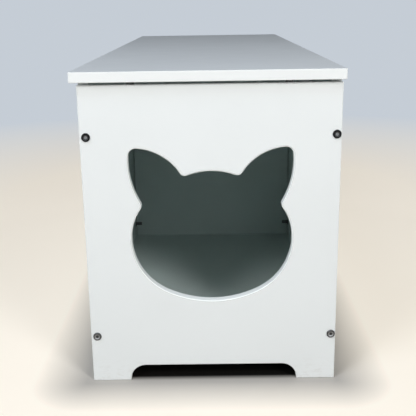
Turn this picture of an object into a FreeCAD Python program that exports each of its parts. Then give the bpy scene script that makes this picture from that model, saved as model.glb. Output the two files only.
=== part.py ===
import FreeCAD, Part
import math
import os

# A flip-top cat litter box cabinet: a long, bench-like carcass of laminated board with a cat-head
# opening in one end panel, a floor on cleats, a divider halfway along, and a lid that is hinged on
# one long side, rests on rubber bumpers and is held open by two gas struts.
#
# Millimetres, +Z up. X runs across the cabinet: the lid lifts at -X (the front) and its hinges are
# at +X (the back). Y runs along it: the cat opening is in the entry end, at -Y, and the other end is
# the far end. The origin is on the ground under the middle of the lid's outline.

Vec = FreeCAD.Vector
ORIGIN, AXIS_X, AXIS_Y, AXIS_Z = Vec(), Vec(1, 0, 0), Vec(0, 1, 0), Vec(0, 0, 1)
ENTRY, FAR = -1, 1       # the two ends, as the sign of Y
FRONT, BACK = -1, 1      # the two long sides, as the sign of X

# ---- driving dimensions ----
LID_WIDTH = 413.0
LID_LENGTH = 1252.0
HEIGHT = 509.0           # ground to the lid's top face
BOARD = 16.0             # thickness of every board
PANEL_WIDTH = 400.0      # end panels, across the cabinet
LID_GAP = 4.5            # open gap between the end panels and the closed lid
LID_CLEARANCE = 0.6      # fine gap between the long boards and the closed lid
LID_END_OVERHANG = 10.0  # lid past the end panels
LID_BACK_OVERHANG = 3.5  # lid past the end panels' edges on the hinged side
BOARD_EDGE_R = 1.0       # eased edges of the boards that are handled
OPENING_EDGE_R = 2.0     # eased edges of the cat opening
FIT = 0.2                # gap left round a board that drops in between others
DIVIDER_GAP = 2.0        # open gap between the divider and each long board
HOLE_PLAY = 0.1          # a fixing hole's extra radius over its fastener
TINY = 1e-6              # lengths and places closer than this are the same

# base arches, which leave feet at the corners
ARCH_HEIGHT = 27.0
ARCH_CORNER_R = 25.0
END_ARCH_WIDTH = 275.0
END_FOOT_LENGTH = 70.0   # feet of the long boards, at the ends
MID_FOOT_LENGTH = 120.0  # foot of the long boards under the divider

# cat-head opening: arcs of its right half, as radius and centre from the panel's middle
CHIN_R, CHIN_HEIGHT = 166.0, 306.3
CHEEK_R, CHEEK_X = 97.6, 29.3
CHEEK_TOP_R = 88.0
EAR_NOTCH_R = 9.0
EAR_SIDE_R, EAR_SIDE_X, EAR_SIDE_HEIGHT = 132.0, -4.0, 368.6
EAR_TIP_R = 12.8
EAR_TOP_R, EAR_TOP_X, EAR_TOP_HEIGHT = 86.0, 120.9, 305.5
CROWN_NOTCH_R = 9.5
CROWN_R, CROWN_HEIGHT = 103.5, 251.3

# floor, cleats and divider
FLOOR_TOP = 61.0
CLEAT = 18.0             # square section of the cleats
CLEAT_END_GAP = 10.0
BRACKET_HEIGHTS = (91.0, 440.0)
BRACKET_LEG, BRACKET_TALL, BRACKET_T = 14.0, 7.0, 1.5
BRACKET_SCREW_IN = 9.0   # screws, in from the bracket's corner

# fixings of the end panels
BOLT_HEIGHTS = (80.0, 410.0)
BOLT_IN = {FRONT: 10.0, BACK: 7.5}   # in from the end panels' edges
BOLT_R, BOLT_LENGTH, BOLT_HEAD_R, BOLT_HEAD_T = 3.0, 50.0, 6.7, 2.4
SOCKET_FLATS, SOCKET_DEPTH = 4.0, 3.2
DISH_R, DISH_FLOOR_R, DISH_DEPTH = 4.4, 2.7, 0.9   # the shallow cone round the socket
NUT_R, NUT_LENGTH, NUT_FROM_HEAD = 5.0, 13.0, 40.0
DOWEL_HEIGHTS = (150.0, 340.0)
DOWEL_R, DOWEL_LENGTH, DOWEL_IN_PANEL = 4.0, 30.0, 10.0

# wood screws, as radius and length
CLEAT_SCREW = (1.75, 30.0)
FLOOR_SCREW = (1.75, 32.0)
DIVIDER_SCREW = (2.0, 50.0)
HINGE_SCREW_BOARD = (1.5, 16.0)
HINGE_SCREW_LID = (1.5, 12.0)
BRACKET_SCREW = (1.25, 10.0)
STRUT_SCREW = (1.5, 12.0)
CLEAT_SCREW_Y = (-540.0, -300.0, 0.0, 300.0, 540.0)
FLOOR_SCREW_Y = (-450.0, -150.0, 150.0, 450.0)
DIVIDER_SCREW_X = (-113.0, 113.0)   # from the carcass's middle

# lid hinges and bumpers
HINGE_Y = (-480.0, 0.0, 480.0)
HINGE_LENGTH, HINGE_LEAF_WIDTH, LEAF_T = 50.0, 16.5, 1.2
KNUCKLE_R, KNUCKLE_COUNT, KNUCKLE_GAP = 2.0, 5, 0.3
KNUCKLE_OUT = 1.0        # hinge axis past the back board's outer face
PIN_R, PIN_PLAY, PIN_HEAD_R, PIN_HEAD_T = 1.1, 0.05, 1.7, 0.8
HINGE_SCREW_Y = (-18.0, 0.0, 18.0)
HINGE_SCREW_IN = 10.5    # hinge screws, in from the hinge axis
HINGE_SEAT_PLAY = 0.5    # gap left at each end of a hinge in its seat in the back board
BUMPER_R, BUMPER_T, BUMPER_EDGE = 6.0, 4.3, 1.0
BUMPER_X = (-120.0, 120.0)   # from the carcass's middle, on both end panels

# gas struts: one inside each end panel
STRUT_BOTTOM = (158.0, 306.0)        # X and Z of the lower pivot
STRUT_TOP = (152.0, 480.0)           # X and Z of the upper pivot, with the lid closed
STRUT_PLANE_IN = 14.0                # strut's middle plane from the end panel's inner face
STRUT_PIVOT_R, STRUT_PLAY = 3.0, 0.05
EYE_R, EYE_T, NECK_R = 7.0, 8.0, 4.0
EYE_GAP = 0.4                        # side gap between an eye and what is beside it
TUBE_R, TUBE_WALL, TUBE_START, TUBE_END = 7.5, 1.2, 16.0, 150.0
TUBE_BASE_T, GLAND_T = 3.0, 6.0
ROD_R, ROD_END, PISTON_START, PISTON_T, PISTON_PLAY = 3.0, 161.0, 70.0, 10.0, 0.1
SOCKET_START = 157.0                 # rod's end fitting begins here along the strut
POST_PLATE_W, POST_PLATE_H, STEEL_T = 20.0, 42.0, 2.0
POST_SHOULDER_R, CLIP_T = 5.0, 1.0
POST_SCREW_OFFSET = 15.0
PIN_CAP_R, PIN_CAP_T = 4.5, 1.5
EAR_W, FLANGE_LENGTH, EAR_FROM_EYE = 18.0, 30.0, 5.0
FLANGE_SCREWS = (10.0, 22.0)         # from the ear's outer face

# ---- planes worked out from them ----
LID_BOTTOM = HEIGHT - BOARD
PANEL_TOP = LID_BOTTOM - LID_GAP                 # end panels and divider
LONG_BOARD_TOP = LID_BOTTOM - LID_CLEARANCE
END_OUT = LID_LENGTH / 2 - LID_END_OVERHANG      # end panels' outer faces, either way along Y
END_IN = END_OUT - BOARD
PANEL_X1 = LID_WIDTH / 2 - LID_BACK_OVERHANG
PANEL_X0 = PANEL_X1 - PANEL_WIDTH
MID_X = (PANEL_X0 + PANEL_X1) / 2
BOLT_X = {FRONT: PANEL_X0 + BOLT_IN[FRONT], BACK: PANEL_X1 - BOLT_IN[BACK]}
OUTER_X = {FRONT: PANEL_X0, BACK: PANEL_X1}
INNER_X = {FRONT: OUTER_X[FRONT] + BOARD, BACK: OUTER_X[BACK] - BOARD}
FLOOR_BOTTOM = FLOOR_TOP - BOARD
CLEAT_BOTTOM = FLOOR_BOTTOM - CLEAT
HINGE_X = OUTER_X[BACK] + KNUCKLE_OUT
HINGE_Z = PANEL_TOP + LID_GAP / 2
HINGE_SCREW_X = HINGE_X - HINGE_SCREW_IN
HINGE_SEAT = HINGE_LENGTH + 2 * (PIN_HEAD_T + HINGE_SEAT_PLAY)   # length of a hinge's seat
STRUT_Y = END_IN - STRUT_PLANE_IN
EYE_OUT, EYE_IN = STRUT_Y + EYE_T / 2, STRUT_Y - EYE_T / 2
EAR_OUT = EYE_IN - EAR_FROM_EYE                  # lid bracket's ear, its face towards the strut
STRUT_AXIS = Vec(STRUT_TOP[0] - STRUT_BOTTOM[0], 0, STRUT_TOP[1] - STRUT_BOTTOM[1])
STRUT_LENGTH = STRUT_AXIS.Length


# ---- building blocks ----
def block(corner, opposite):
    """A box between any two opposite corners."""
    low = Vec(*map(min, corner, opposite))
    high = Vec(*map(max, corner, opposite))
    size = high - low
    return Part.makeBox(size.x, size.y, size.z, low)


def bar(start, end, radius):
    """A round bar from one point to another."""
    start, end = Vec(*start), Vec(*end)
    return Part.makeCylinder(radius, start.distanceToPoint(end), start, end - start)


def turned(profile):
    """A solid turned about Z, from its outline as (radius, height) points."""
    points = [Vec(radius, 0, height) for radius, height in profile]
    return Part.Face(Part.makePolygon(points + points[:1])).revolve(ORIGIN, AXIS_Z, 360)


def aimed(shape, point, direction):
    """A shape made at the origin along +Z, taken to a point and turned to a direction."""
    placement = FreeCAD.Placement(Vec(*point), FreeCAD.Rotation(AXIS_Z, Vec(*direction)))
    return shape.transformed(placement.toMatrix(), True)


def eased(board, wanted=lambda edge: True, radius=BOARD_EDGE_R):
    """A board with its edges, or those that are wanted, rounded a little."""
    return board.makeFillet(radius, [edge for edge in board.Edges if wanted(edge)])


def is_arch_seam(edge):
    """Whether an edge runs straight through the board where an arch's curve starts or ends smoothly."""
    heights = [point.Z for point in edge.Vertexes]
    return abs(edge.Length - BOARD) < TINY and 0 < min(heights) and max(heights) < PANEL_TOP


def wood_screw(point, direction, size, play=0.0):
    """A countersunk screw with its head's flat face centred on a point; with play, its hole."""
    radius, length = size
    shank = radius + play
    head_r = 2 * radius + play
    tip = length - 2 * radius
    outline = [(0, 0), (head_r, 0), (shank, head_r - shank), (shank, tip), (0, length + play)]
    screw = turned(outline)
    if not play:
        slot_w, slot_l, slot_d = 0.5 * radius, 1.3 * radius, 0.8 * radius
        screw = screw.cut(block((-slot_l, -slot_w / 2, -1), (slot_l, slot_w / 2, slot_d)))
        screw = screw.cut(block((-slot_w / 2, -slot_l, -1), (slot_w / 2, slot_l, slot_d)))
    return aimed(screw, point, direction)


def screw_holes(places, size):
    """The holes for wood screws at (point, direction) places."""
    return [wood_screw(point, direction, size, HOLE_PLAY) for point, direction in places]


def screws(places, size):
    """A set of wood screws at (point, direction) places."""
    return Part.makeCompound([wood_screw(point, direction, size) for point, direction in places])


def hexagon(flats, bottom, top):
    """A six-sided bar about Z."""
    corner = flats / math.sqrt(3)
    angles = [math.radians(60 * step) for step in range(7)]
    outline = Part.makePolygon([Vec(corner * math.cos(a), corner * math.sin(a), bottom) for a in angles])
    return Part.Face(outline).extrude(Vec(0, 0, top - bottom))


def drilled(body, holes):
    """A body with holes cut from it."""
    return body.cut(Part.makeCompound(holes)).removeSplitter().Solids[0]


# ---- fastener places ----
def long_sides_at(heights):
    """(x, z) of fixings in the middle of both long boards' thickness."""
    return [((OUTER_X[side] + INNER_X[side]) / 2, z) for side in (FRONT, BACK) for z in heights]


def bolt_places():
    """(x, z) of the bolts of an end panel."""
    return [(BOLT_X[side], z) for side in (FRONT, BACK) for z in BOLT_HEIGHTS]


def cleat_inner_x(side):
    return INNER_X[side] - side * CLEAT


def cleat_screw_places(side):
    middle_z = CLEAT_BOTTOM + CLEAT / 2
    return [((cleat_inner_x(side), y, middle_z), (side, 0, 0)) for y in CLEAT_SCREW_Y]


def floor_screw_places(side):
    middle_x = INNER_X[side] - side * CLEAT / 2
    return [((middle_x, y, CLEAT_BOTTOM), (0, 0, 1)) for y in FLOOR_SCREW_Y]


def divider_screw_places():
    return [((MID_X + x, 0, FLOOR_BOTTOM), (0, 0, 1)) for x in DIVIDER_SCREW_X]


def bracket_screw_places(side):
    """Each divider bracket has one screw into the divider and one into the long board."""
    into_divider = INNER_X[side] - side * BRACKET_SCREW_IN
    into_board = -BOARD / 2 - BRACKET_SCREW_IN
    places = []
    for z in BRACKET_HEIGHTS:
        places.append(((into_divider, -BOARD / 2 - BRACKET_T, z), (0, 1, 0)))
        places.append(((INNER_X[side] - side * BRACKET_T, into_board, z), (side, 0, 0)))
    return places


def hinge_screw_places(z, up):
    """Hinge screws at height z, driven up (1) into the lid or down (-1) into the board."""
    return [((HINGE_SCREW_X, y + dy, z), (0, 0, up)) for y in HINGE_Y for dy in HINGE_SCREW_Y]


BOARD_LEAF_SCREWS = hinge_screw_places(PANEL_TOP + LEAF_T, -1)
LID_LEAF_SCREWS = hinge_screw_places(LID_BOTTOM - LEAF_T, 1)


def strut_post_screw_places(end):
    x, z = STRUT_BOTTOM
    y = end * (END_IN - STEEL_T)
    return [((x, y, z + dz), (0, end, 0)) for dz in (-POST_SCREW_OFFSET, POST_SCREW_OFFSET)]


def strut_flange_screw_places(end):
    z = LID_BOTTOM - STEEL_T
    return [((STRUT_TOP[0], end * (EAR_OUT - inward), z), (0, 0, 1)) for inward in FLANGE_SCREWS]


# ---- cat-head opening ----
def circles_meet(centre_a, radius_a, centre_b, radius_b, side):
    """Where two circles about (x, z) centres cross; side picks the left (1) or right (-1) of a to b."""
    dx, dz = centre_b[0] - centre_a[0], centre_b[1] - centre_a[1]
    apart = math.hypot(dx, dz)
    along = (radius_a ** 2 - radius_b ** 2 + apart ** 2) / (2 * apart)
    aside = side * math.sqrt(radius_a ** 2 - along ** 2)
    return (centre_a[0] + (along * dx - aside * dz) / apart,
            centre_a[1] + (along * dz + aside * dx) / apart)


def right_half_arcs():
    """(centre, radius, bend) of the right half's arcs, from the chin up to the crown.

    bend is 1 where the opening bulges outwards and -1 in the notches beside each ear."""
    chin = (0.0, CHIN_HEIGHT)
    cheek_drop = math.sqrt((CHIN_R - CHEEK_R) ** 2 - CHEEK_X ** 2)
    cheek = (CHEEK_X, CHIN_HEIGHT - cheek_drop)
    cheek_top = (CHEEK_X + CHEEK_R - CHEEK_TOP_R, cheek[1])
    ear_side = (EAR_SIDE_X, EAR_SIDE_HEIGHT)
    ear_top = (EAR_TOP_X, EAR_TOP_HEIGHT)
    crown = (0.0, CROWN_HEIGHT)
    ear_notch = circles_meet(cheek_top, CHEEK_TOP_R + EAR_NOTCH_R, ear_side, EAR_SIDE_R + EAR_NOTCH_R, -1)
    ear_tip = circles_meet(ear_side, EAR_SIDE_R - EAR_TIP_R, ear_top, EAR_TOP_R - EAR_TIP_R, 1)
    crown_notch = circles_meet(ear_top, EAR_TOP_R + CROWN_NOTCH_R, crown, CROWN_R + CROWN_NOTCH_R, -1)
    return [(chin, CHIN_R, 1), (cheek, CHEEK_R, 1), (cheek_top, CHEEK_TOP_R, 1),
            (ear_notch, EAR_NOTCH_R, -1), (ear_side, EAR_SIDE_R, 1), (ear_tip, EAR_TIP_R, 1),
            (ear_top, EAR_TOP_R, 1), (crown_notch, CROWN_NOTCH_R, -1), (crown, CROWN_R, 1)]


def tangent_point(arc, following):
    """Where two neighbouring arcs touch: on the line through both centres."""
    (ax, az), radius, bend = arc
    (bx, bz), next_radius, next_bend = following
    reach = radius / math.hypot(bx - ax, bz - az)
    if bend == next_bend and radius < next_radius:
        reach = -reach
    return (ax + (bx - ax) * reach, az + (bz - az) * reach)


def arc_edge(centre, radius, start, end):
    """The short way round a circle from start to end, as an edge in the plane Y = 0."""
    mid_x = (start[0] + end[0]) / 2 - centre[0]
    mid_z = (start[1] + end[1]) / 2 - centre[1]
    stretch = radius / math.hypot(mid_x, mid_z)
    middle = (centre[0] + mid_x * stretch, centre[1] + mid_z * stretch)
    return Part.Arc(*(Vec(x, 0, z) for x, z in (start, middle, end))).toShape()


def cat_head():
    """The closed outline of the opening, about the panel's middle line."""
    arcs = right_half_arcs()
    joins = [tangent_point(arc, following) for arc, following in zip(arcs, arcs[1:])]
    chin, crown = arcs[0], arcs[-1]
    first, last = joins[0], joins[-1]
    edges = [arc_edge(chin[0], chin[1], (-first[0], first[1]), first)]
    for (centre, radius, _), start, end in zip(arcs[1:], joins, joins[1:]):
        edges.append(arc_edge(centre, radius, start, end))
    edges.append(arc_edge(crown[0], crown[1], last, (-last[0], last[1])))
    for edge in reversed(edges[1:-1]):
        edges.append(edge.mirror(ORIGIN, AXIS_X))
    return Part.Wire(Part.__sortEdges__(edges))


def cat_head_cutter():
    outline = cat_head()
    outline.translate(Vec(MID_X, -END_OUT - 1, 0))
    return Part.Face(outline).extrude(Vec(0, BOARD + 2, 0))


def arch_cutter(width):
    """A base arch with rounded upper corners, cut along Y and centred on the origin."""
    cutter = block((-width / 2, -BOARD, -ARCH_HEIGHT), (width / 2, BOARD, ARCH_HEIGHT))
    upper = [edge for edge in cutter.Edges
             if all(point.Z > 0 for point in edge.Vertexes) and abs(edge.Length - 2 * BOARD) < TINY]
    return cutter.makeFillet(ARCH_CORNER_R, upper)


def is_opening_edge(edge):
    """Whether an edge runs round the cat-head opening in a face of the entry panel."""
    box = edge.BoundBox
    inside = min(box.XMin - PANEL_X0, PANEL_X1 - box.XMax, box.ZMin - ARCH_HEIGHT, PANEL_TOP - box.ZMax)
    return box.YLength < TINY and inside > BOARD


# ---- boards ----
def end_panel(end):
    """An end panel with its base arch, bolt holes, dowel sockets and strut screw holes."""
    panel = block((PANEL_X0, end * END_OUT, 0), (PANEL_X1, end * END_IN, PANEL_TOP))
    arch = arch_cutter(END_ARCH_WIDTH)
    arch.translate(Vec(MID_X, end * (END_OUT + END_IN) / 2, 0))
    panel = eased(panel.cut(arch), lambda edge: not is_arch_seam(edge))
    if end == ENTRY:
        panel = eased(panel.cut(cat_head_cutter()), is_opening_edge, OPENING_EDGE_R)
    holes = []
    for x, z in bolt_places():
        holes.append(bar((x, end * (END_OUT + 1), z), (x, end * (END_IN - 1), z), BOLT_R + HOLE_PLAY))
    for x, z in long_sides_at(DOWEL_HEIGHTS):
        deep = END_IN + DOWEL_IN_PANEL + FIT
        holes.append(bar((x, end * (END_IN - 1), z), (x, end * deep, z), DOWEL_R + HOLE_PLAY))
    holes += screw_holes(strut_post_screw_places(end), STRUT_SCREW)
    return drilled(panel, holes)


def is_board_end(edge):
    """Whether an edge lies in a long board's end face, which butts against an end panel."""
    box = edge.BoundBox
    return box.YLength < TINY and abs(abs(box.YMin) - END_IN) < TINY


def hinge_seats():
    """What is cut from the back board's top so that the hinges sink into it."""
    return [block((OUTER_X[BACK] + 1, y - HINGE_SEAT / 2, PANEL_TOP),
                  (INNER_X[BACK] - 1, y + HINGE_SEAT / 2, LONG_BOARD_TOP + 1)) for y in HINGE_Y]


def long_board(side):
    """A long board with base arches and the holes and seats for every fixing that it takes."""
    x = (OUTER_X[side] + INNER_X[side]) / 2
    board = block((OUTER_X[side], -END_IN, 0), (INNER_X[side], END_IN, LONG_BOARD_TOP))
    arch_start, arch_end = MID_FOOT_LENGTH / 2, END_IN - END_FOOT_LENGTH
    for end in (ENTRY, FAR):
        arch = arch_cutter(arch_end - arch_start)
        arch.rotate(ORIGIN, AXIS_Z, 90)
        arch.translate(Vec(x, end * (arch_start + arch_end) / 2, 0))
        board = board.cut(arch)
    board = eased(board, lambda edge: not is_arch_seam(edge) and not is_board_end(edge))
    holes = []
    for end in (ENTRY, FAR):
        bolt_end = END_OUT - BOLT_LENGTH - 1
        nut_y = END_OUT - NUT_FROM_HEAD
        nut_end = INNER_X[side] + side * (NUT_LENGTH + FIT)
        dowel_end = END_IN + DOWEL_IN_PANEL - DOWEL_LENGTH - FIT
        for z in BOLT_HEIGHTS:
            bolt_start = (BOLT_X[side], end * (END_IN + 1), z)
            holes.append(bar(bolt_start, (BOLT_X[side], end * bolt_end, z), BOLT_R + HOLE_PLAY))
            nut_start = (INNER_X[side] - side, end * nut_y, z)
            holes.append(bar(nut_start, (nut_end, end * nut_y, z), NUT_R + HOLE_PLAY))
        for z in DOWEL_HEIGHTS:
            holes.append(bar((x, end * (END_IN + 1), z), (x, end * dowel_end, z), DOWEL_R + HOLE_PLAY))
    holes += screw_holes(cleat_screw_places(side), CLEAT_SCREW)
    holes += screw_holes(bracket_screw_places(side), BRACKET_SCREW)
    if side == BACK:
        holes += screw_holes(BOARD_LEAF_SCREWS, HINGE_SCREW_BOARD) + hinge_seats()
    return drilled(board, holes)


def floor_board():
    board = block((INNER_X[FRONT] + FIT, -END_IN + FIT, FLOOR_BOTTOM),
                  (INNER_X[BACK] - FIT, END_IN - FIT, FLOOR_TOP))
    holes = screw_holes(divider_screw_places(), DIVIDER_SCREW)
    for side in (FRONT, BACK):
        holes += screw_holes(floor_screw_places(side), FLOOR_SCREW)
    return drilled(board, holes)


def divider():
    """The upright board halfway along, which parts the litter room from the storage room."""
    board = block((INNER_X[FRONT] + DIVIDER_GAP, -BOARD / 2, FLOOR_TOP),
                  (INNER_X[BACK] - DIVIDER_GAP, BOARD / 2, PANEL_TOP))
    holes = screw_holes(divider_screw_places(), DIVIDER_SCREW)
    for side in (FRONT, BACK):
        holes += screw_holes(bracket_screw_places(side), BRACKET_SCREW)
    return drilled(board, holes)


def cleat(side):
    """A square batten along a long board, which carries the floor board's edge."""
    reach = END_IN - CLEAT_END_GAP
    batten = block((INNER_X[side], -reach, CLEAT_BOTTOM), (cleat_inner_x(side), reach, FLOOR_BOTTOM))
    holes = screw_holes(cleat_screw_places(side), CLEAT_SCREW)
    holes += screw_holes(floor_screw_places(side), FLOOR_SCREW)
    return drilled(batten, holes)


def lid():
    half_w, half_l = LID_WIDTH / 2, LID_LENGTH / 2
    board = eased(block((-half_w, -half_l, LID_BOTTOM), (half_w, half_l, HEIGHT)))
    holes = screw_holes(LID_LEAF_SCREWS, HINGE_SCREW_LID)
    for end in (ENTRY, FAR):
        holes += screw_holes(strut_flange_screw_places(end), STRUT_SCREW)
    return drilled(board, holes)


# ---- fixings ----
def panel_bolt():
    """A furniture bolt along +Z, its bevelled head below the origin, dished round a hex socket."""
    rim, bevel = 1.0, 0.9
    top = -BOLT_HEAD_T
    dish = top + DISH_DEPTH
    bolt = turned([(0, dish), (DISH_FLOOR_R, dish), (DISH_R, top), (BOLT_HEAD_R - bevel, top),
                   (BOLT_HEAD_R, top + rim), (BOLT_HEAD_R, 0), (BOLT_R, 0),
                   (BOLT_R, BOLT_LENGTH - rim), (BOLT_R - rim, BOLT_LENGTH), (0, BOLT_LENGTH)])
    return bolt.cut(hexagon(SOCKET_FLATS, top - 1, top + SOCKET_DEPTH))


def panel_bolts(end):
    """The four bolts of one end panel."""
    bolts = [aimed(panel_bolt(), (x, end * END_OUT, z), (0, -end, 0)) for x, z in bolt_places()]
    return Part.makeCompound(bolts)


def barrel_nut(side, end, z):
    """A cross dowel, seated in the inner face of a long board, with the bolt's hole through it."""
    y = end * (END_OUT - NUT_FROM_HEAD)
    x = BOLT_X[side]
    nut = bar((INNER_X[side], y, z), (INNER_X[side] + side * NUT_LENGTH, y, z), NUT_R)
    return nut.cut(bar((x, y - 2 * NUT_R, z), (x, y + 2 * NUT_R, z), BOLT_R + HOLE_PLAY))


def barrel_nuts():
    return Part.makeCompound([barrel_nut(side, end, z) for side in (FRONT, BACK)
                              for end in (ENTRY, FAR) for z in BOLT_HEIGHTS])


def dowels():
    """Plain wooden dowels that line the end panels up with the long boards."""
    bevel = 1.0
    peg = turned([(0, 0), (DOWEL_R - bevel, 0), (DOWEL_R, bevel), (DOWEL_R, DOWEL_LENGTH - bevel),
                  (DOWEL_R - bevel, DOWEL_LENGTH), (0, DOWEL_LENGTH)])
    start = END_IN + DOWEL_IN_PANEL
    return Part.makeCompound([aimed(peg, (x, end * start, z), (0, -end, 0))
                              for end in (ENTRY, FAR) for x, z in long_sides_at(DOWEL_HEIGHTS)])


def divider_bracket(side, z):
    """A small angle bracket between the divider's entry face and a long board."""
    face_y, board_x = -BOARD / 2, INNER_X[side]
    low, high = z - BRACKET_TALL / 2, z + BRACKET_TALL / 2
    on_divider = block((board_x, face_y, low), (board_x - side * BRACKET_LEG, face_y - BRACKET_T, high))
    on_board = block((board_x, face_y, low), (board_x - side * BRACKET_T, face_y - BRACKET_LEG, high))
    return drilled(on_divider.fuse(on_board), screw_holes(bracket_screw_places(side), BRACKET_SCREW))


def bumper():
    """A round rubber bumper with a bevelled top."""
    return turned([(0, 0), (BUMPER_R, 0), (BUMPER_R, BUMPER_T - BUMPER_EDGE),
                   (BUMPER_R - BUMPER_EDGE, BUMPER_T), (0, BUMPER_T)])


def bumpers():
    """The lid's bumpers, two on the top edge of each end panel."""
    y = (END_OUT + END_IN) / 2
    return Part.makeCompound([aimed(bumper(), (MID_X + x, end * y, PANEL_TOP), (0, 0, 1))
                              for end in (ENTRY, FAR) for x in BUMPER_X])


# ---- hinges ----
def knuckle_ranges(first):
    """Start and end along the hinge of every second knuckle, beginning with the given one."""
    pitch = HINGE_LENGTH / KNUCKLE_COUNT
    trim = KNUCKLE_GAP / 2
    starts = [-HINGE_LENGTH / 2 + pitch * index for index in range(first, KNUCKLE_COUNT, 2)]
    return [(start + trim, start + pitch - trim) for start in starts]


def hinge_leaf(y, outer_z, inner_z, first, screw_places, size):
    """A leaf between two heights, with every second knuckle round the hinge pin."""
    half = HINGE_LENGTH / 2
    notch_x = HINGE_X - KNUCKLE_R - 2 * KNUCKLE_GAP
    leaf = block((HINGE_X - HINGE_LEAF_WIDTH, y - half, outer_z), (notch_x, y + half, inner_z))
    for start, end in knuckle_ranges(first):
        finger = block((notch_x, y + start, outer_z), (HINGE_X, y + end, inner_z))
        knuckle = bar((HINGE_X, y + start, HINGE_Z), (HINGE_X, y + end, HINGE_Z), KNUCKLE_R)
        leaf = leaf.fuse([finger, knuckle])
    bore = bar((HINGE_X, y - half - 1, HINGE_Z), (HINGE_X, y + half + 1, HINGE_Z), PIN_R + PIN_PLAY)
    return drilled(leaf, [bore] + screw_holes(screw_places, size))


def board_leaf(y):
    return hinge_leaf(y, PANEL_TOP, PANEL_TOP + LEAF_T, 0, BOARD_LEAF_SCREWS, HINGE_SCREW_BOARD)


def lid_leaf(y):
    return hinge_leaf(y, LID_BOTTOM, LID_BOTTOM - LEAF_T, 1, LID_LEAF_SCREWS, HINGE_SCREW_LID)


def hinge_pin(y):
    half = HINGE_LENGTH / 2
    end = half + PIN_HEAD_T
    pin = turned([(0, -end), (PIN_HEAD_R, -end), (PIN_HEAD_R, -half), (PIN_R, -half), (PIN_R, half),
                  (PIN_HEAD_R, half), (PIN_HEAD_R, end), (0, end)])
    return aimed(pin, (HINGE_X, y, HINGE_Z), (0, 1, 0))


# ---- gas struts ----
def along_strut(shape, end):
    """A strut piece made along +Z from the lower pivot, taken to its place inside one end."""
    return aimed(shape, (STRUT_BOTTOM[0], end * STRUT_Y, STRUT_BOTTOM[1]), STRUT_AXIS)


def eye(height, neck_start, neck_end):
    """A round eye bored along Y at a height on Z, with a neck between two other heights."""
    disc = bar((0, -EYE_T / 2, height), (0, EYE_T / 2, height), EYE_R)
    neck = bar((0, 0, neck_start), (0, 0, neck_end), NECK_R)
    bore = bar((0, -EYE_T, height), (0, EYE_T, height), STRUT_PIVOT_R + STRUT_PLAY)
    return disc.fuse(neck).removeSplitter().cut(bore)


def strut_tube(end):
    bore_r = TUBE_R - TUBE_WALL
    gland_r = ROD_R + STRUT_PLAY
    base, gland = TUBE_START + TUBE_BASE_T, TUBE_END - GLAND_T
    tube = turned([(0, TUBE_START), (TUBE_R, TUBE_START), (TUBE_R, TUBE_END), (gland_r, TUBE_END),
                   (gland_r, gland), (bore_r, gland), (bore_r, base), (0, base)])
    return along_strut(tube, end)


def strut_tube_eye(end):
    return along_strut(eye(0, EYE_R - 1, TUBE_START), end)


def strut_rod(end):
    """The piston rod with the piston on its lower end."""
    piston_r = TUBE_R - TUBE_WALL - PISTON_PLAY
    piston_end = PISTON_START + PISTON_T
    rod = turned([(0, PISTON_START), (piston_r, PISTON_START), (piston_r, piston_end), (ROD_R, piston_end),
                  (ROD_R, ROD_END), (0, ROD_END)])
    return along_strut(rod, end)


def strut_rod_eye(end):
    fitting = eye(STRUT_LENGTH, SOCKET_START, STRUT_LENGTH - EYE_R + 1)
    socket = bar((0, 0, SOCKET_START - 1), (0, 0, ROD_END + FIT), ROD_R + STRUT_PLAY)
    return along_strut(fitting.cut(socket), end)


def strut_top_pin(end):
    """The headed pin of the rod's eye, which reaches towards the lid bracket's ear."""
    x, z = STRUT_TOP
    head = bar((x, end * (EYE_OUT + PIN_CAP_T), z), (x, end * EYE_OUT, z), PIN_CAP_R)
    shank = bar((x, end * EYE_OUT, z), (x, end * (EAR_OUT + EYE_GAP), z), STRUT_PIVOT_R)
    return head.fuse(shank)


def strut_post(end):
    """A screwed plate on the end panel with the post that the strut's lower eye turns on."""
    x, z = STRUT_BOTTOM
    face = END_IN - STEEL_T
    plate = block((x - POST_PLATE_W / 2, end * END_IN, z - POST_PLATE_H / 2),
                  (x + POST_PLATE_W / 2, end * face, z + POST_PLATE_H / 2))
    shoulder = bar((x, end * face, z), (x, end * (EYE_OUT + EYE_GAP), z), POST_SHOULDER_R)
    post = bar((x, end * face, z), (x, end * (EYE_IN - EYE_GAP - 2 * CLIP_T), z), STRUT_PIVOT_R)
    return drilled(plate.fuse([shoulder, post]), screw_holes(strut_post_screw_places(end), STRUT_SCREW))


def strut_clip(end):
    """The retaining ring on the post's end."""
    x, z = STRUT_BOTTOM
    start, stop = EYE_IN - EYE_GAP, EYE_IN - EYE_GAP - CLIP_T
    ring = bar((x, end * start, z), (x, end * stop, z), POST_SHOULDER_R)
    return ring.cut(bar((x, end * (start + 1), z), (x, end * (stop - 1), z), STRUT_PIVOT_R + STRUT_PLAY))


def strut_lid_bracket(end):
    """An angle bracket under the lid: a screwed flange and an ear beside the strut's upper eye."""
    x, z = STRUT_TOP
    half = EAR_W / 2
    ear_in = EAR_OUT - STEEL_T
    ear = block((x - half, end * EAR_OUT, z), (x + half, end * ear_in, LID_BOTTOM))
    tip = bar((x, end * EAR_OUT, z), (x, end * ear_in, z), half)
    flange = block((x - half, end * EAR_OUT, LID_BOTTOM - STEEL_T),
                   (x + half, end * (EAR_OUT - FLANGE_LENGTH), LID_BOTTOM))
    pivot = bar((x, end * (EAR_OUT + 1), z), (x, end * (ear_in - 1), z), STRUT_PIVOT_R + HOLE_PLAY)
    holes = [pivot] + screw_holes(strut_flange_screw_places(end), STRUT_SCREW)
    return drilled(ear.fuse([tip, flange]), holes)


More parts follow.
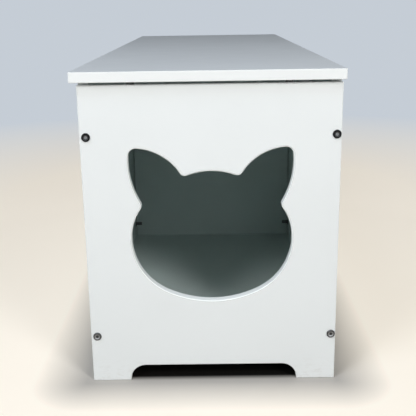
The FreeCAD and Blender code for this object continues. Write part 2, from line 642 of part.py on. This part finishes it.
# ---- the whole cabinet, by node name ----
def all_parts():
    parts = {
        "entry_end_panel": end_panel(ENTRY),
        "far_end_panel": end_panel(FAR),
        "front_board": long_board(FRONT),
        "back_board": long_board(BACK),
        "floor_board": floor_board(),
        "divider": divider(),
        "front_cleat": cleat(FRONT),
        "back_cleat": cleat(BACK),
        "lid": lid(),
        "entry_panel_bolts": panel_bolts(ENTRY),
        "far_panel_bolts": panel_bolts(FAR),
        "barrel_nuts": barrel_nuts(),
        "alignment_dowels": dowels(),
        "cleat_screws": screws(cleat_screw_places(FRONT) + cleat_screw_places(BACK), CLEAT_SCREW),
        "floor_screws": screws(floor_screw_places(FRONT) + floor_screw_places(BACK), FLOOR_SCREW),
        "divider_screws": screws(divider_screw_places(), DIVIDER_SCREW),
        "divider_bracket_screws": screws(bracket_screw_places(FRONT) + bracket_screw_places(BACK),
                                         BRACKET_SCREW),
        "hinge_board_screws": screws(BOARD_LEAF_SCREWS, HINGE_SCREW_BOARD),
        "hinge_lid_screws": screws(LID_LEAF_SCREWS, HINGE_SCREW_LID),
        "strut_post_screws": screws(strut_post_screw_places(ENTRY) + strut_post_screw_places(FAR),
                                    STRUT_SCREW),
        "strut_lid_screws": screws(strut_flange_screw_places(ENTRY) + strut_flange_screw_places(FAR),
                                   STRUT_SCREW),
        "lid_bumpers": bumpers(),
    }
    for side, side_name in ((FRONT, "front"), (BACK, "back")):
        for z, level in zip(BRACKET_HEIGHTS, ("lower", "upper")):
            parts[f"divider_bracket_{side_name}_{level}"] = divider_bracket(side, z)
    for y, place in zip(HINGE_Y, ("entry", "middle", "far")):
        parts[f"{place}_hinge_board_leaf"] = board_leaf(y)
        parts[f"{place}_hinge_lid_leaf"] = lid_leaf(y)
        parts[f"{place}_hinge_pin"] = hinge_pin(y)
    for end, place in ((ENTRY, "entry"), (FAR, "far")):
        parts[f"{place}_strut_tube"] = strut_tube(end)
        parts[f"{place}_strut_tube_eye"] = strut_tube_eye(end)
        parts[f"{place}_strut_rod"] = strut_rod(end)
        parts[f"{place}_strut_rod_eye"] = strut_rod_eye(end)
        parts[f"{place}_strut_top_pin"] = strut_top_pin(end)
        parts[f"{place}_strut_post"] = strut_post(end)
        parts[f"{place}_strut_clip"] = strut_clip(end)
        parts[f"{place}_strut_lid_bracket"] = strut_lid_bracket(end)
    return parts


os.makedirs("parts", exist_ok=True)
for name, shape in all_parts().items():
    shape.exportStep(f"parts/{name}.step")
    print(name, len(shape.Solids), "solids,", round(shape.Volume / 1000, 2), "cm3, valid", shape.isValid())
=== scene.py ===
import math
import bpy
from mathutils import Matrix, Vector


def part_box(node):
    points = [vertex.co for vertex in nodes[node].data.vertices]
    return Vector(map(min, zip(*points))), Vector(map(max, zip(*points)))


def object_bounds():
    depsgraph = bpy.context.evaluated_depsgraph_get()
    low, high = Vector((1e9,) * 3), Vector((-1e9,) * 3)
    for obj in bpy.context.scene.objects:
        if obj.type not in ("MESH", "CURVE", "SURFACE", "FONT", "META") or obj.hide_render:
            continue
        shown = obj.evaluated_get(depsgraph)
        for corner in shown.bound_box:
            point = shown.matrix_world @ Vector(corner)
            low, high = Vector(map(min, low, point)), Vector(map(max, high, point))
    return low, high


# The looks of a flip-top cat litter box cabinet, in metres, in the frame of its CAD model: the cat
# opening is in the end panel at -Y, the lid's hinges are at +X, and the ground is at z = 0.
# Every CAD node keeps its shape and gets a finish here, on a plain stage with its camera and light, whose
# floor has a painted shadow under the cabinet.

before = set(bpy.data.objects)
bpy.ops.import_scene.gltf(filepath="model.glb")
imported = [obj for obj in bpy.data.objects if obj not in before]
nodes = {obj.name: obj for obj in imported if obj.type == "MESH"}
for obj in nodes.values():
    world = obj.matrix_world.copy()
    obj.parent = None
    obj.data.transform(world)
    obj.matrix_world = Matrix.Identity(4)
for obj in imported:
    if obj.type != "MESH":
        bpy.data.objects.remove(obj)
cad_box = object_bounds()

# ---- the camera, a real one at the photograph's viewpoint ----
CAMERA_PLACE = Vector((0.00404, -1.7251, 0.60366))
CAMERA_TURN, CAMERA_DOWN, CAMERA_ROLL = 0.3336, 15.501, -0.868   # degrees
CAMERA_LENS, SENSOR = 63.77, 36.0                                # millimetres

# ---- planes of the carcass, read from the CAD nodes ----
ENTRY_OUT, ENTRY_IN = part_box("entry_end_panel")[0].y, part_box("entry_end_panel")[1].y
FAR_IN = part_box("far_end_panel")[0].y
FRONT_IN, BACK_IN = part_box("front_board")[1].x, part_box("back_board")[0].x
CARCASS_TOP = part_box("front_board")[1].z
PLANE_SLACK = 0.0003      # how far past a plane the inside finish still counts

# ---- laminated board: scales are per metre, tones are factors on a colour, and a spread is the part
# of a noise's range that is stretched over the new one ----
WHITE = (0.805, 0.83, 0.82)
# The lid's white is painted shade on its top, darker than the panels' white.
LID_SHADED_WHITE = (0.625, 0.65, 0.66)
# The edge bands are painted lighter than the faces: partly a whiter band, partly painted highlight, which
# makes the bright line round the opening.
LID_EDGE_BAND_AND_HIGHLIGHT = (0.83, 0.85, 0.835)
BOARD_EDGE_BAND_AND_HIGHLIGHT = (0.935, 0.965, 0.945)
# INSIDE_SHADE_GREY is painted shade: a darker teal-grey for the faces inside the carcass, the floor board
# and the divider.
INSIDE_SHADE_GREY = (0.70, 0.79, 0.77)
GLUE_GREY = (0.50, 0.51, 0.50)
SCUFF_GREY = (0.62, 0.61, 0.58)
BAND_START, SEAM_START = 0.97, 0.9985    # cosines of the turn from a face to its edge band and glue line
BOARD_GLOSS, LID_GLOSS = 0.2, 0.06       # specular levels
CLOUD_SCALE, CLOUD_SPREAD, CLOUD_TONES, INSIDE_TONES = 5, (0.35, 0.65), (0.985, 1.01), (0.98, 1.02)
SMUDGE_SCALE, SMUDGE_SPREAD, SMUDGE_ROUGHNESS = 22, (0.35, 0.7), (0.50, 0.62)
BAND_POLISH = 0.08                       # how much smoother the edge bands are than the faces
PEARL_SCALE, PEARL_DEPTH = 900, 0.00004
SCUFF_HEIGHT, SCUFF_STRENGTH = 0.045, 0.55   # faint scuffs on the feet, up to here
SCUFF_SCALE, SCUFF_STRETCH, SCUFF_SPREAD = 60, (1, 1, 2.5), (0.5, 0.72)

# ---- bare wood: its noise has one scale across the grain and another along it, which is Y ----
PINE = (0.60, 0.42, 0.24), (0.42, 0.26, 0.13)      # light and dark grain
BEECH = (0.62, 0.44, 0.28), (0.48, 0.31, 0.18)
GRAIN_STRETCH, GRAIN_SPREAD = (90, 4, 90), (0.35, 0.68)
PORE_STRETCH, PINE_PORES, BEECH_PORES = (900, 25, 900), 0.0001, 0.00005
WOOD_ROUGHNESS = 0.62

# ---- bolt heads, whose greys are of the lower bolts and of the upper ones, painted as reflections ----
BOLT_HEAD_R, DISH_R, SOCKET_R = 0.0067, 0.0044, 0.0024
# The rims' greys, the dish's painted highlight and the socket's painted glint differ between the rows as
# painted reflection.
RIM_GREYS = (0.1, 0.016)
DISH_HIGHLIGHT_GREYS = (0.29, 0.05)
SOCKET_GLINT_GREYS = (0.1, 0.34)
NICKEL_TINT = (0.99, 1, 1)
TURNING_MARKS, TURNING_DEPTH, TURNING_TONES = 2500.0, 0.00003, (0.75, 1.1)   # rings per metre of radius
NICKEL_ROUGHNESS, DISH_BLUR = (0.3, 0.42), 0.2      # the dish and socket are rougher by the blur
METAL_SPREAD = (0.3, 0.7)

# ---- other metal, plastic and rubber ----
ZINC = (0.58, 0.59, 0.60)
CHROME = (0.72, 0.73, 0.74)
GREY_PLATE = (0.18, 0.185, 0.185)
BLACK_ENAMEL = (0.022, 0.022, 0.024)
BLACK_PLASTIC = (0.03, 0.03, 0.032)
RUBBER = (0.09, 0.095, 0.093)
METAL_TONE_SCALE, METAL_TONES = 250, (0.85, 1.15)
METAL_GLOSS_SCALE, METAL_GLOSSES = 600, (0.8, 1.25)     # factors on a metal's roughness
METAL_GRAIN_SCALE, METAL_GRAIN_DEPTH = 1500, 0.00002
BRUSHED_ALONG_Y = (1, 0.15, 1)
MOULDED_TONE_SCALE, MOULDED_TONES, MOULDED_DEPTH = 60, (0.8, 1.25), 0.00006

# ---- stage and light ----
WALL = (0.56, 0.61, 0.67)
FLOOR = (0.47, 0.445, 0.41)
FLOOR_GLOW = (0.575, 0.53, 0.455)
FLOOR_RADIUS, FLOOR_PATCHES, FLOOR_TONES = 30, 3, (0.98, 1.02)
# The floor under the cabinet is painted almost black: a painted shadow.
UNDER_SHADE = 0.02                       # how much of its tone the floor keeps under the cabinet
SHADE_START, SHADE_FULL = 0.008, 0.022   # how far in under the outline that shade starts and is full
# The glow's ramp leaves the floor dimmer near the cabinet's foot: a painted contact shadow.
GLOW_START, GLOW_FULL = 0.002, 0.09      # how far out the floor's glow starts and is full
WALL_START, WALL_FULL = 0.45, 1.8        # how far out the floor turns into the wall's colour
AMBIENT, AMBIENT_STRENGTH = (0.93, 0.97, 1.0), 0.1
COOL = (0.86, 0.96, 1.12)
LIT_HEIGHT = 0.3                         # where the lamps aim on the entry panel


# ---- node helpers ----
def new_material(name, roughness=0.5, metallic=0.0, specular=0.5):
    """A material with its shader, whose constant values sit on the shader's own sockets."""
    material = bpy.data.materials.new(name)
    material.use_nodes = True
    shader = material.node_tree.nodes["Principled BSDF"]
    shader.inputs["Roughness"].default_value = roughness
    shader.inputs["Metallic"].default_value = metallic
    shader.inputs["Specular IOR Level"].default_value = specular
    return material, material.node_tree, shader


def link(tree, output, socket):
    tree.links.new(output, socket)


def math_node(tree, operation, a, b=0.0):
    """A Math node of one operation on two values, each a number or an output."""
    node = tree.nodes.new("ShaderNodeMath")
    node.operation = operation
    for socket, value in zip(node.inputs, (a, b)):
        if isinstance(value, (int, float)):
            socket.default_value = value
        else:
            link(tree, value, socket)
    return node.outputs[0]


def vector_node(tree, operation, a, b=None):
    """A Vector Math node of one operation on an output and an optional tuple."""
    node = tree.nodes.new("ShaderNodeVectorMath")
    node.operation = operation
    link(tree, a, node.inputs[0])
    if b is not None:
        node.inputs[1].default_value = b
    return node


def object_point(tree, stretch=(1, 1, 1)):
    """The point on the object, in metres, stretched along each axis."""
    point = tree.nodes.new("ShaderNodeTexCoord").outputs["Object"]
    mapping = tree.nodes.new("ShaderNodeMapping")
    mapping.inputs["Scale"].default_value = stretch
    link(tree, point, mapping.inputs["Vector"])
    return mapping.outputs[0]


def split_xyz(tree, vector):
    node = tree.nodes.new("ShaderNodeSeparateXYZ")
    link(tree, vector, node.inputs[0])
    return node.outputs


def noise(tree, scale, detail=2.0, stretch=(1, 1, 1), roughness=0.5):
    """Noise of a scale per metre, about 0.5."""
    node = tree.nodes.new("ShaderNodeTexNoise")
    node.inputs["Scale"].default_value = scale
    node.inputs["Detail"].default_value = detail
    node.inputs["Roughness"].default_value = roughness
    link(tree, object_point(tree, stretch), node.inputs["Vector"])
    return node.outputs[0]


def between(tree, value, low, high, new_low, new_high):
    """A value's range taken to a new one, clamped."""
    node = tree.nodes.new("ShaderNodeMapRange")
    link(tree, value, node.inputs[0])
    for socket, number in zip(node.inputs[1:5], (low, high, new_low, new_high)):
        socket.default_value = number
    return node.outputs[0]


def blend_colours(tree, factor, first, second, mode="MIX"):
    """A colour made of two, each a tuple or an output, by a number or an output."""
    node = tree.nodes.new("ShaderNodeMix")
    node.data_type = "RGBA"
    node.blend_type = mode
    if isinstance(factor, (int, float)):
        node.inputs[0].default_value = factor
    else:
        link(tree, factor, node.inputs[0])
    for socket, colour in zip(node.inputs[6:8], (first, second)):
        if isinstance(colour, tuple):
            socket.default_value = (*colour, 1)
        else:
            link(tree, colour, socket)
    return node.outputs[2]


def bump(tree, shader, height, depth):
    node = tree.nodes.new("ShaderNodeBump")
    node.inputs["Distance"].default_value = depth
    link(tree, height, node.inputs["Height"])
    link(tree, node.outputs[0], shader.inputs["Normal"])


def shade(colour, factor):
    return tuple(channel * factor for channel in colour)


def toned(tree, factor, colour, tones):
    """A colour that varies between two tones of itself."""
    return blend_colours(tree, factor, *(shade(colour, tone) for tone in tones))


# ---- laminated board ----
def inside_shade_mask(tree):
    """1 on the faces that look into the carcass, where painted shade goes, and 0 outside and on the boards'
    edges.
    """
    x, y, z = split_xyz(tree, object_point(tree))
    tests = [math_node(tree, "GREATER_THAN", x, FRONT_IN - PLANE_SLACK),
             math_node(tree, "LESS_THAN", x, BACK_IN + PLANE_SLACK),
             math_node(tree, "GREATER_THAN", y, ENTRY_IN - PLANE_SLACK),
             math_node(tree, "LESS_THAN", y, FAR_IN + PLANE_SLACK),
             math_node(tree, "LESS_THAN", z, CARCASS_TOP - PLANE_SLACK)]
    mask = tests[0]
    for test in tests[1:]:
        mask = math_node(tree, "MULTIPLY", mask, test)
    return mask


def edge_masks(tree, board):
    """Two masks of a board: its rounded edge bands, and the glue lines where they meet its faces."""
    low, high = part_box(board)
    sizes = list(high - low)
    through = sizes.index(min(sizes))      # the axis through the board's thickness
    normal = split_xyz(tree, tree.nodes.new("ShaderNodeTexCoord").outputs["Normal"])[through]
    flatness = math_node(tree, "ABSOLUTE", normal)
    band = math_node(tree, "LESS_THAN", flatness, BAND_START)
    off_face = math_node(tree, "LESS_THAN", flatness, SEAM_START)
    return band, math_node(tree, "SUBTRACT", off_face, band)


def scuffs(tree):
    """Faint broken scuffs that fade out upwards from the feet."""
    height = between(tree, split_xyz(tree, object_point(tree))[2], 0, SCUFF_HEIGHT, 1, 0)
    patches = noise(tree, SCUFF_SCALE, detail=5, stretch=SCUFF_STRETCH, roughness=0.7)
    return math_node(tree, "MULTIPLY", height, between(tree, patches, *SCUFF_SPREAD, 0, SCUFF_STRENGTH))


def laminate(board, face, edge, inside=None, gloss=BOARD_GLOSS):
    """Satin melamine laminate: a pearl texture, faint cloudy tone, soft smudges, banded edges made lighter
    partly by a whiter band and partly by painted highlight, and painted shade on inner faces.
    """
    material, tree, shader = new_material(f"{board}_laminate", specular=gloss)
    cloud = between(tree, noise(tree, CLOUD_SCALE, detail=3), *CLOUD_SPREAD, 0, 1)
    colour = toned(tree, cloud, face, CLOUD_TONES)
    band, seam = edge_masks(tree, board)
    # edge bands: a whiter band with painted highlight
    colour = blend_colours(tree, band, colour, edge)
    colour = blend_colours(tree, seam, colour, GLUE_GREY)
    # painted shade on the faces inside the carcass
    if inside:
        grey = toned(tree, cloud, inside, INSIDE_TONES)
        colour = blend_colours(tree, inside_shade_mask(tree), colour, grey)
    colour = blend_colours(tree, scuffs(tree), colour, SCUFF_GREY)
    link(tree, colour, shader.inputs["Base Color"])
    smudge = noise(tree, SMUDGE_SCALE, detail=4, roughness=0.6)
    smudge = between(tree, smudge, *SMUDGE_SPREAD, *SMUDGE_ROUGHNESS)
    polish = math_node(tree, "MULTIPLY", band, -BAND_POLISH)
    link(tree, math_node(tree, "ADD", smudge, polish), shader.inputs["Roughness"])
    bump(tree, shader, noise(tree, PEARL_SCALE), PEARL_DEPTH)
    return material


# ---- wood ----
def timber(name, light, dark, pores):
    """Planed wood with grain along Y and pores of a depth."""
    material, tree, shader = new_material(name, WOOD_ROUGHNESS)
    grain = noise(tree, 1, detail=6, stretch=GRAIN_STRETCH, roughness=0.65)
    colour = blend_colours(tree, between(tree, grain, *GRAIN_SPREAD, 0, 1), light, dark)
    link(tree, colour, shader.inputs["Base Color"])
    bump(tree, shader, noise(tree, 1, detail=3, stretch=PORE_STRETCH), pores)
    return material


# ---- metal, plastic and rubber ----
def bolt_places(tree, node):
    """The distance from the axis of the nearest of an end panel's four bolts, and 1 at the upper two."""
    low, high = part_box(node)
    middle, reach = (low + high) / 2, (high - low) / 2
    x, _, z = split_xyz(tree, object_point(tree))
    squares = []
    for place, centre, half in ((x, middle.x, reach.x), (z, middle.z, reach.z)):
        away = math_node(tree, "ABSOLUTE", math_node(tree, "SUBTRACT", place, centre))
        offset = math_node(tree, "SUBTRACT", away, half - BOLT_HEAD_R)
        squares.append(math_node(tree, "POWER", math_node(tree, "ABSOLUTE", offset), 2))
    radius = math_node(tree, "SQRT", math_node(tree, "ADD", *squares))
    return radius, math_node(tree, "GREATER_THAN", z, middle.z)


def bolt_metal(node):
    """Dark nickel with fine turning marks, a painted highlight in each dish and a painted glint in each
    socket, greyer on the lower bolts than on the upper ones as painted reflection.
    """
    material, tree, shader = new_material(f"{node}_nickel", metallic=1.0)
    radius, upper = bolt_places(tree, node)
    # painted reflection: the dish's highlight and the socket's glint, set apart for the upper bolts
    rim, dish, socket = (toned(tree, upper, NICKEL_TINT, greys)
                         for greys in (RIM_GREYS, DISH_HIGHLIGHT_GREYS, SOCKET_GLINT_GREYS))
    in_dish = math_node(tree, "LESS_THAN", radius, DISH_R)
    colour = blend_colours(tree, in_dish, rim, dish)
    colour = blend_colours(tree, math_node(tree, "LESS_THAN", radius, SOCKET_R), colour, socket)
    marks = tree.nodes.new("ShaderNodeTexNoise")
    marks.noise_dimensions = "1D"
    marks.inputs["Scale"].default_value = TURNING_MARKS
    link(tree, radius, marks.inputs["W"])
    tone = between(tree, marks.outputs[0], *METAL_SPREAD, *TURNING_TONES)
    link(tree, blend_colours(tree, 1.0, colour, tone, "MULTIPLY"), shader.inputs["Base Color"])
    blur = math_node(tree, "MULTIPLY", in_dish, DISH_BLUR)
    polish = between(tree, marks.outputs[0], *METAL_SPREAD, *NICKEL_ROUGHNESS)
    link(tree, math_node(tree, "ADD", polish, blur), shader.inputs["Roughness"])
    bump(tree, shader, marks.outputs[0], TURNING_DEPTH)
    return material


def metal(name, colour, roughness, brush=(1, 1, 1), metallic=1.0):
    """Plated or brushed metal, a little uneven in tone and gloss."""
    material, tree, shader = new_material(name, metallic=metallic)
    tone = noise(tree, METAL_TONE_SCALE, detail=3, stretch=brush)
    link(tree, toned(tree, tone, colour, METAL_TONES), shader.inputs["Base Color"])
    gloss = noise(tree, METAL_GLOSS_SCALE, detail=3, stretch=brush)
    low, high = (roughness * factor for factor in METAL_GLOSSES)
    link(tree, between(tree, gloss, *METAL_SPREAD, low, high), shader.inputs["Roughness"])
    bump(tree, shader, noise(tree, METAL_GRAIN_SCALE, stretch=brush), METAL_GRAIN_DEPTH)
    return material


def moulded(name, colour, roughness, grain):
    """Moulded plastic or rubber with a fine grained skin."""
    material, tree, shader = new_material(name, roughness)
    tone = noise(tree, MOULDED_TONE_SCALE, detail=3)
    link(tree, toned(tree, tone, colour, MOULDED_TONES), shader.inputs["Base Color"])
    bump(tree, shader, noise(tree, grain, detail=3), MOULDED_DEPTH)
    return material


# ---- which node gets which finish ----
def paint(names, material):
    """Gives every slot of the named CAD nodes one material."""
    for name in names:
        slots = nodes[name].data.materials
        if not slots:
            slots.append(material)
        for index in range(len(slots)):
            slots[index] = material


def named(*endings):
    """The CAD nodes whose names end in one of these ways."""
    return [name for name in nodes if name.endswith(endings)]


def finish_boards():
    """The white boards with painted shade on their inner faces, the inner boards painted in that shade grey
    all over, and the wood that holds them.
    """
    for board in ("entry_end_panel", "far_end_panel", "front_board", "back_board"):
        paint([board], laminate(board, WHITE, BOARD_EDGE_BAND_AND_HIGHLIGHT, INSIDE_SHADE_GREY))
    # the lid's top carries painted shade, darker than the panels
    paint(["lid"], laminate("lid", LID_SHADED_WHITE, LID_EDGE_BAND_AND_HIGHLIGHT, gloss=LID_GLOSS))
    # the floor board and divider are painted in shade grey all over
    for board in ("floor_board", "divider"):
        paint([board], laminate(board, INSIDE_SHADE_GREY, INSIDE_SHADE_GREY))
    paint(named("cleat"), timber("pine", *PINE, PINE_PORES))
    paint(["alignment_dowels"], timber("beech", *BEECH, BEECH_PORES))


def finish_fittings():
    """Bolts, plated fixings and hinges, the divider's brackets, the gas struts and the lid's bumpers."""
    for bolts in named("panel_bolts"):
        paint([bolts], bolt_metal(bolts))
    brackets = [name for name in nodes if name.startswith("divider_bracket")]
    plated = named("_screws", "hinge_board_leaf", "hinge_lid_leaf", "hinge_pin", "strut_post", "strut_clip",
                   "strut_lid_bracket", "strut_top_pin", "barrel_nuts")
    paint([name for name in plated if name not in brackets],
          metal("zinc_plate", ZINC, roughness=0.34, brush=BRUSHED_ALONG_Y))
    paint(named("strut_rod"), metal("polished_chrome", CHROME, roughness=0.1))
    paint(brackets, metal("grey_plate", GREY_PLATE, roughness=0.45, metallic=0.3))
    paint(named("strut_tube"), metal("black_enamel", BLACK_ENAMEL, roughness=0.32, metallic=0.1))
    paint(named("_eye"), moulded("black_plastic", BLACK_PLASTIC, roughness=0.5, grain=900))
    paint(["lid_bumpers"], moulded("bumper_rubber", RUBBER, roughness=0.75, grain=1400))


# ---- stage, light and camera ----
def seen_rays(tree):
    """1 for the rays by which the camera sees a thing, straight or in a reflection or through glass."""
    rays = tree.nodes.new("ShaderNodeLightPath").outputs
    seen = math_node(tree, "MAXIMUM", rays["Is Camera Ray"], rays["Is Glossy Ray"])
    return math_node(tree, "MAXIMUM", seen, rays["Is Transmission Ray"])


def backdrop_material():
    """A pale floor with a painted shadow under the cabinet; further out it is seen to glow a little, then as
    the wall, and the glow fading in from the cabinet's foot is a painted contact shadow.
    """
    material, tree, shader = new_material("pale_floor", roughness=0.8, specular=0.0)
    corner = cad_box[1]
    reach = vector_node(tree, "ABSOLUTE", object_point(tree)).outputs[0]
    past = vector_node(tree, "SUBTRACT", reach, (corner.x, corner.y, 1)).outputs[0]
    away = vector_node(tree, "LENGTH", vector_node(tree, "MAXIMUM", past).outputs[0]).outputs["Value"]
    x_past, y_past, _ = split_xyz(tree, past)
    inside = math_node(tree, "MULTIPLY", math_node(tree, "MAXIMUM", x_past, y_past), -1)
    # painted shadow under the cabinet's outline
    painted_shadow = between(tree, inside, SHADE_START, SHADE_FULL, 1, UNDER_SHADE)
    tone = toned(tree, noise(tree, FLOOR_PATCHES, detail=4), FLOOR, FLOOR_TONES)
    link(tree, blend_colours(tree, painted_shadow, (0, 0, 0), tone), shader.inputs["Base Color"])
    seen = seen_rays(tree)
    # the glow fading in from the cabinet's foot is a painted contact shadow
    glow = math_node(tree, "MULTIPLY", seen, between(tree, away, GLOW_START, GLOW_FULL, 0, 1))
    shader.inputs["Emission Color"].default_value = (*FLOOR_GLOW, 1)
    link(tree, glow, shader.inputs["Emission Strength"])
    wall = tree.nodes.new("ShaderNodeEmission")
    wall.inputs["Color"].default_value = (*WALL, 1)
    mix = tree.nodes.new("ShaderNodeMixShader")
    far = between(tree, away, WALL_START, WALL_FULL, 0, 1)
    link(tree, math_node(tree, "MULTIPLY", seen, far), mix.inputs[0])
    link(tree, shader.outputs[0], mix.inputs[1])
    link(tree, wall.outputs[0], mix.inputs[2])
    link(tree, mix.outputs[0], tree.nodes["Material Output"].inputs["Surface"])
    return material


def build_stage():
    bpy.ops.mesh.primitive_circle_add(vertices=96, radius=FLOOR_RADIUS, fill_type="NGON", location=(0, 0, 0))
    floor = bpy.context.object
    floor.name = "pale_floor"
    floor.data.materials.append(backdrop_material())


def build_world():
    """Even, slightly cool light; what the camera and reflections see is the wall's pale colour."""
    world = bpy.data.worlds.new("studio")
    bpy.context.scene.world = world
    world.use_nodes = True
    tree = world.node_tree
    tree.nodes.clear()
    ambient = tree.nodes.new("ShaderNodeBackground")
    ambient.inputs["Color"].default_value = (*AMBIENT, 1)
    ambient.inputs["Strength"].default_value = AMBIENT_STRENGTH
    wall = tree.nodes.new("ShaderNodeBackground")
    wall.inputs["Color"].default_value = (*WALL, 1)
    mix = tree.nodes.new("ShaderNodeMixShader")
    output = tree.nodes.new("ShaderNodeOutputWorld")
    link(tree, seen_rays(tree), mix.inputs[0])
    link(tree, ambient.outputs[0], mix.inputs[1])
    link(tree, wall.outputs[0], mix.inputs[2])
    link(tree, mix.outputs[0], output.inputs["Surface"])


def lamp(name, up, side, distance, size, power, colour=(1, 1, 1)):
    """A round softbox aimed at the entry panel's middle, up and to a side by degrees from straight ahead."""
    up, side = math.radians(up), math.radians(side)
    target = Vector((0, ENTRY_OUT, LIT_HEIGHT))
    place = target + distance * Vector((math.cos(up) * math.sin(side),
                                        -math.cos(up) * math.cos(side), math.sin(up)))
    data = bpy.data.lights.new(name, "AREA")
    data.shape = "DISK"
    data.size = size
    data.energy = power
    data.color = colour
    light = bpy.data.objects.new(name, data)
    light.location = place
    light.rotation_euler = (target - place).to_track_quat("-Z", "Y").to_euler()
    bpy.context.scene.collection.objects.link(light)


def build_lights():
    """Softboxes ahead and to each side, which through the opening light the floor board, and two behind."""
    lamp("right_high", up=33, side=33, distance=2.6, size=0.7, power=21)
    lamp("right_low", up=25, side=36, distance=3.0, size=0.9, power=22)
    lamp("left", up=35, side=-37, distance=3.2, size=0.95, power=25)
    lamp("left_high", up=60, side=-45, distance=2.6, size=1.0, power=20, colour=COOL)
    lamp("left_close", up=10, side=-48, distance=1.1, size=0.5, power=1.5)
    lamp("front_low", up=18, side=8, distance=1.4, size=0.5, power=0.7)
    for side in (-140, 140):
        lamp("rear", up=0, side=side, distance=4.5, size=0.4, power=65)


def build_camera():
    data = bpy.data.cameras.new("camera")
    data.lens = CAMERA_LENS
    data.sensor_width = SENSOR
    camera = bpy.data.objects.new("camera", data)
    camera.matrix_world = (Matrix.Translation(CAMERA_PLACE)
                           @ Matrix.Rotation(math.radians(CAMERA_TURN), 4, "Z")
                           @ Matrix.Rotation(math.radians(90 - CAMERA_DOWN), 4, "X")
                           @ Matrix.Rotation(math.radians(CAMERA_ROLL), 4, "Z"))
    bpy.context.scene.collection.objects.link(camera)
    bpy.context.scene.camera = camera


build_camera()
build_stage()
build_world()
build_lights()
finish_boards()
finish_fittings()
bpy.context.scene.view_settings.view_transform = "Standard"
